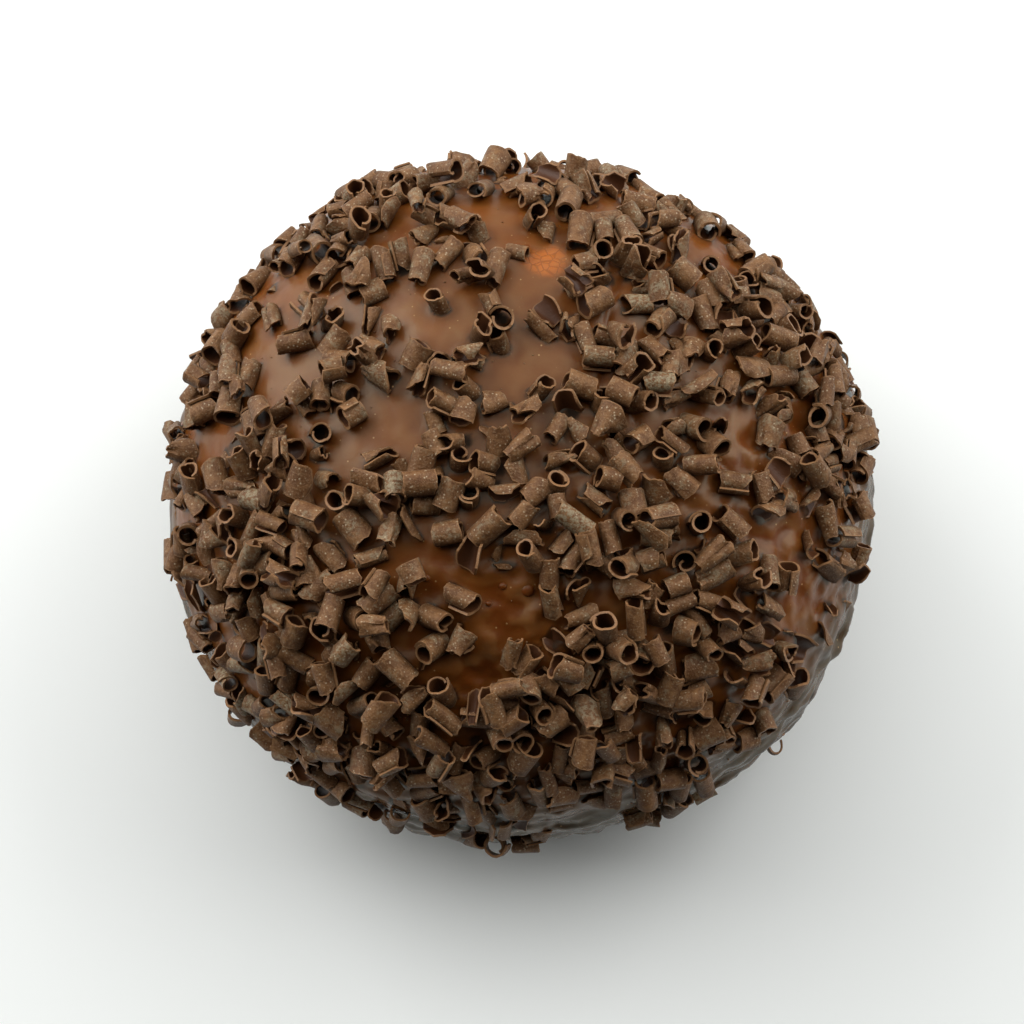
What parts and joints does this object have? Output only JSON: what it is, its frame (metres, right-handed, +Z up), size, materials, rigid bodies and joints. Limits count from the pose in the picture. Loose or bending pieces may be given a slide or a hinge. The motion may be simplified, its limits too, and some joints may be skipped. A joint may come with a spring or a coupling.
{
  "type": "chocolate-coated panettone",
  "caption": "Whole domed sweet bread, coated all over in milk chocolate and strewn with rolled chocolate curls that stick to the coating.",
  "frame": {"origin": "middle of the flat base that the cake rests on", "axes": "+Z up through the top of the dome, -Y towards the side that is nearest in the usual view, +X to the right of that view"},
  "size_m": [0.1808, 0.1785, 0.1098],
  "materials": {
    "milk_chocolate": "glossy milk chocolate coating under duller milk chocolate curls"
  },
  "bodies": {
    "root": {"coated_cake": "milk_chocolate"}
  },
  "joints": []
}
